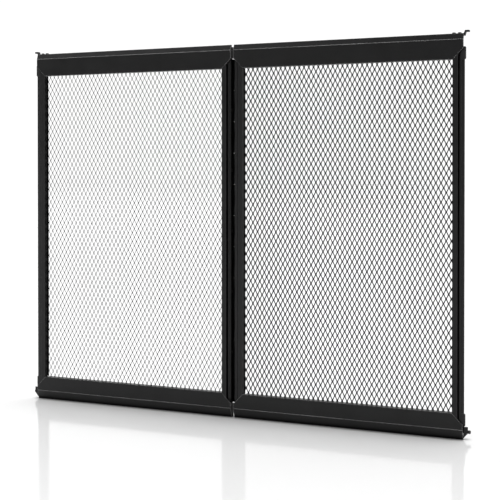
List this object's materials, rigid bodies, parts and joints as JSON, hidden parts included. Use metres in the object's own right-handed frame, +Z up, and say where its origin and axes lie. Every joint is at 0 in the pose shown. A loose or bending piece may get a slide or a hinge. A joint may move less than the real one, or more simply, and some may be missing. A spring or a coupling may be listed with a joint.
{
  "type": "fireplace screen",
  "caption": "Low, wide fireplace screen of two hinged, framed mesh panels, with stepped tabs at the top outer corners and sprung pins at the bottom ones.",
  "frame": {"origin": "centre of the bounding box at the bottom edge, on the floor under the hinge between the panels", "axes": "+X to the right along both panels, the faces look towards -Y, +Z up"},
  "size_m": [0.7144, 0.0159, 0.5503],
  "materials": {
    "painted_frame": "satin black powder coat",
    "painted_mesh": "satin black powder coat",
    "blackened_steel": "black oxide, slightly glossier than the frame",
    "black_plastic": "matte black",
    "plain_aluminium": "mill"
  },
  "bodies": {
    "left_latch": {"left_latch_pin": "blackened_steel", "left_latch_clip": "blackened_steel", "left_latch_knob": "black_plastic"},
    "left_panel": {"left_bottom_rail": "painted_frame", "left_bracket": "painted_frame", "left_bracket_screws": "blackened_steel", "left_corner_keys": "plain_aluminium", "left_hinge_leaf": "painted_frame", "left_hinge_rivets": "blackened_steel", "left_inner_stile": "painted_frame", "left_key_screws": "blackened_steel", "left_latch_spring": "blackened_steel", "left_mesh": "painted_mesh", "left_mesh_strip_bottom": "painted_frame", "left_mesh_strip_inner": "painted_frame", "left_mesh_strip_outer": "painted_frame", "left_mesh_strip_top": "painted_frame", "left_outer_stile": "painted_frame", "left_rail_screws": "blackened_steel", "left_side_pads": "black_plastic", "left_side_strip": "painted_frame", "left_strip_screws": "blackened_steel", "left_tab_rivets": "blackened_steel", "left_top_rail": "painted_frame", "left_top_tab": "painted_frame", "hinge_pin": "blackened_steel"},
    "right_latch": {"right_latch_pin": "blackened_steel", "right_latch_clip": "blackened_steel", "right_latch_knob": "black_plastic"},
    "right_panel": {"right_bottom_rail": "painted_frame", "right_bracket": "painted_frame", "right_bracket_screws": "blackened_steel", "right_corner_keys": "plain_aluminium", "right_hinge_leaf": "painted_frame", "right_hinge_rivets": "blackened_steel", "right_inner_stile": "painted_frame", "right_key_screws": "blackened_steel", "right_latch_spring": "blackened_steel", "right_mesh": "painted_mesh", "right_mesh_strip_bottom": "painted_frame", "right_mesh_strip_inner": "painted_frame", "right_mesh_strip_outer": "painted_frame", "right_mesh_strip_top": "painted_frame", "right_outer_stile": "painted_frame", "right_rail_screws": "blackened_steel", "right_side_pads": "black_plastic", "right_side_strip": "painted_frame", "right_strip_screws": "blackened_steel", "right_tab_rivets": "blackened_steel", "right_top_rail": "painted_frame", "right_top_tab": "painted_frame"}
  },
  "joints": [
    {"name": "panel_fold", "type": "hinge", "parent": "left_panel", "child": "right_panel", "pos_m": [0, 0.00475, 0.273], "axis": [0, 0, 1], "range_deg": [0, 175]},
    {"name": "left_latch_slide", "type": "slide", "parent": "left_panel", "child": "left_latch", "axis": [1, 0, 0], "range_m": [0, 0.006], "stiffness_N_per_m": 150, "springref_m": -0.004, "deforming": ["left_latch_spring"]},
    {"name": "right_latch_slide", "type": "slide", "parent": "right_panel", "child": "right_latch", "axis": [-1, 0, 0], "range_m": [0, 0.006], "stiffness_N_per_m": 150, "springref_m": -0.004, "deforming": ["right_latch_spring"]}
  ]
}
